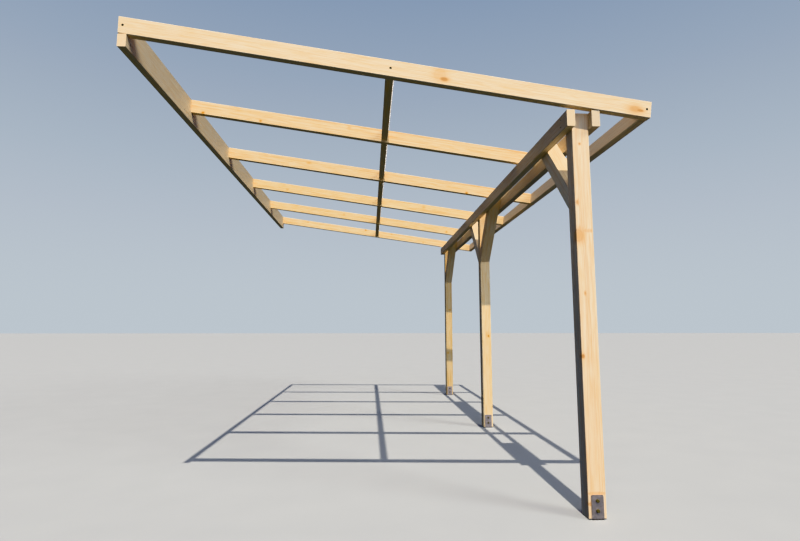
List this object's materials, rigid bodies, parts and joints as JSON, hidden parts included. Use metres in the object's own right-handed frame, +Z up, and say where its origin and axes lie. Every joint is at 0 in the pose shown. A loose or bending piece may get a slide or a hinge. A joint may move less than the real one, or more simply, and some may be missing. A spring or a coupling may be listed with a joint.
{
  "type": "wall-mounted timber pergola",
  "caption": "Lean-to timber pergola: sloping rafters with noggings between them, on a wall plate and a pair of beams clasping braced posts in steel shoes.",
  "frame": {"origin": "centre of the wall plate's back face, the face that lies against the wall", "axes": "+X from the wall out to the eave, +Y along the wall away from the viewer, +Z up"},
  "size_m": [2.797, 5, 2.5221],
  "materials": {
    "planed_softwood": "planed and left bare",
    "galvanised_steel": "galvanised, dull"
  },
  "bodies": {
    "root": {"wall_plate": "planed_softwood", "rafter_1": "planed_softwood", "rafter_2": "planed_softwood", "rafter_3": "planed_softwood", "rafter_4": "planed_softwood", "rafter_5": "planed_softwood", "rafter_6": "planed_softwood", "wall_nogging_1": "planed_softwood", "wall_nogging_2": "planed_softwood", "wall_nogging_3": "planed_softwood", "wall_nogging_4": "planed_softwood", "wall_nogging_5": "planed_softwood", "mid_nogging_1": "planed_softwood", "mid_nogging_2": "planed_softwood", "mid_nogging_3": "planed_softwood", "mid_nogging_4": "planed_softwood", "mid_nogging_5": "planed_softwood", "eave_nogging_1": "planed_softwood", "eave_nogging_2": "planed_softwood", "eave_nogging_3": "planed_softwood", "eave_nogging_4": "planed_softwood", "eave_nogging_5": "planed_softwood", "beam_inner": "planed_softwood", "beam_outer": "planed_softwood", "post_front": "planed_softwood", "post_middle": "planed_softwood", "post_rear": "planed_softwood", "brace_front_post": "planed_softwood", "brace_middle_post_front": "planed_softwood", "brace_middle_post_rear": "planed_softwood", "brace_rear_post": "planed_softwood", "post_shoe_front": "galvanised_steel", "post_shoe_middle": "galvanised_steel", "post_shoe_rear": "galvanised_steel"}
  },
  "joints": []
}
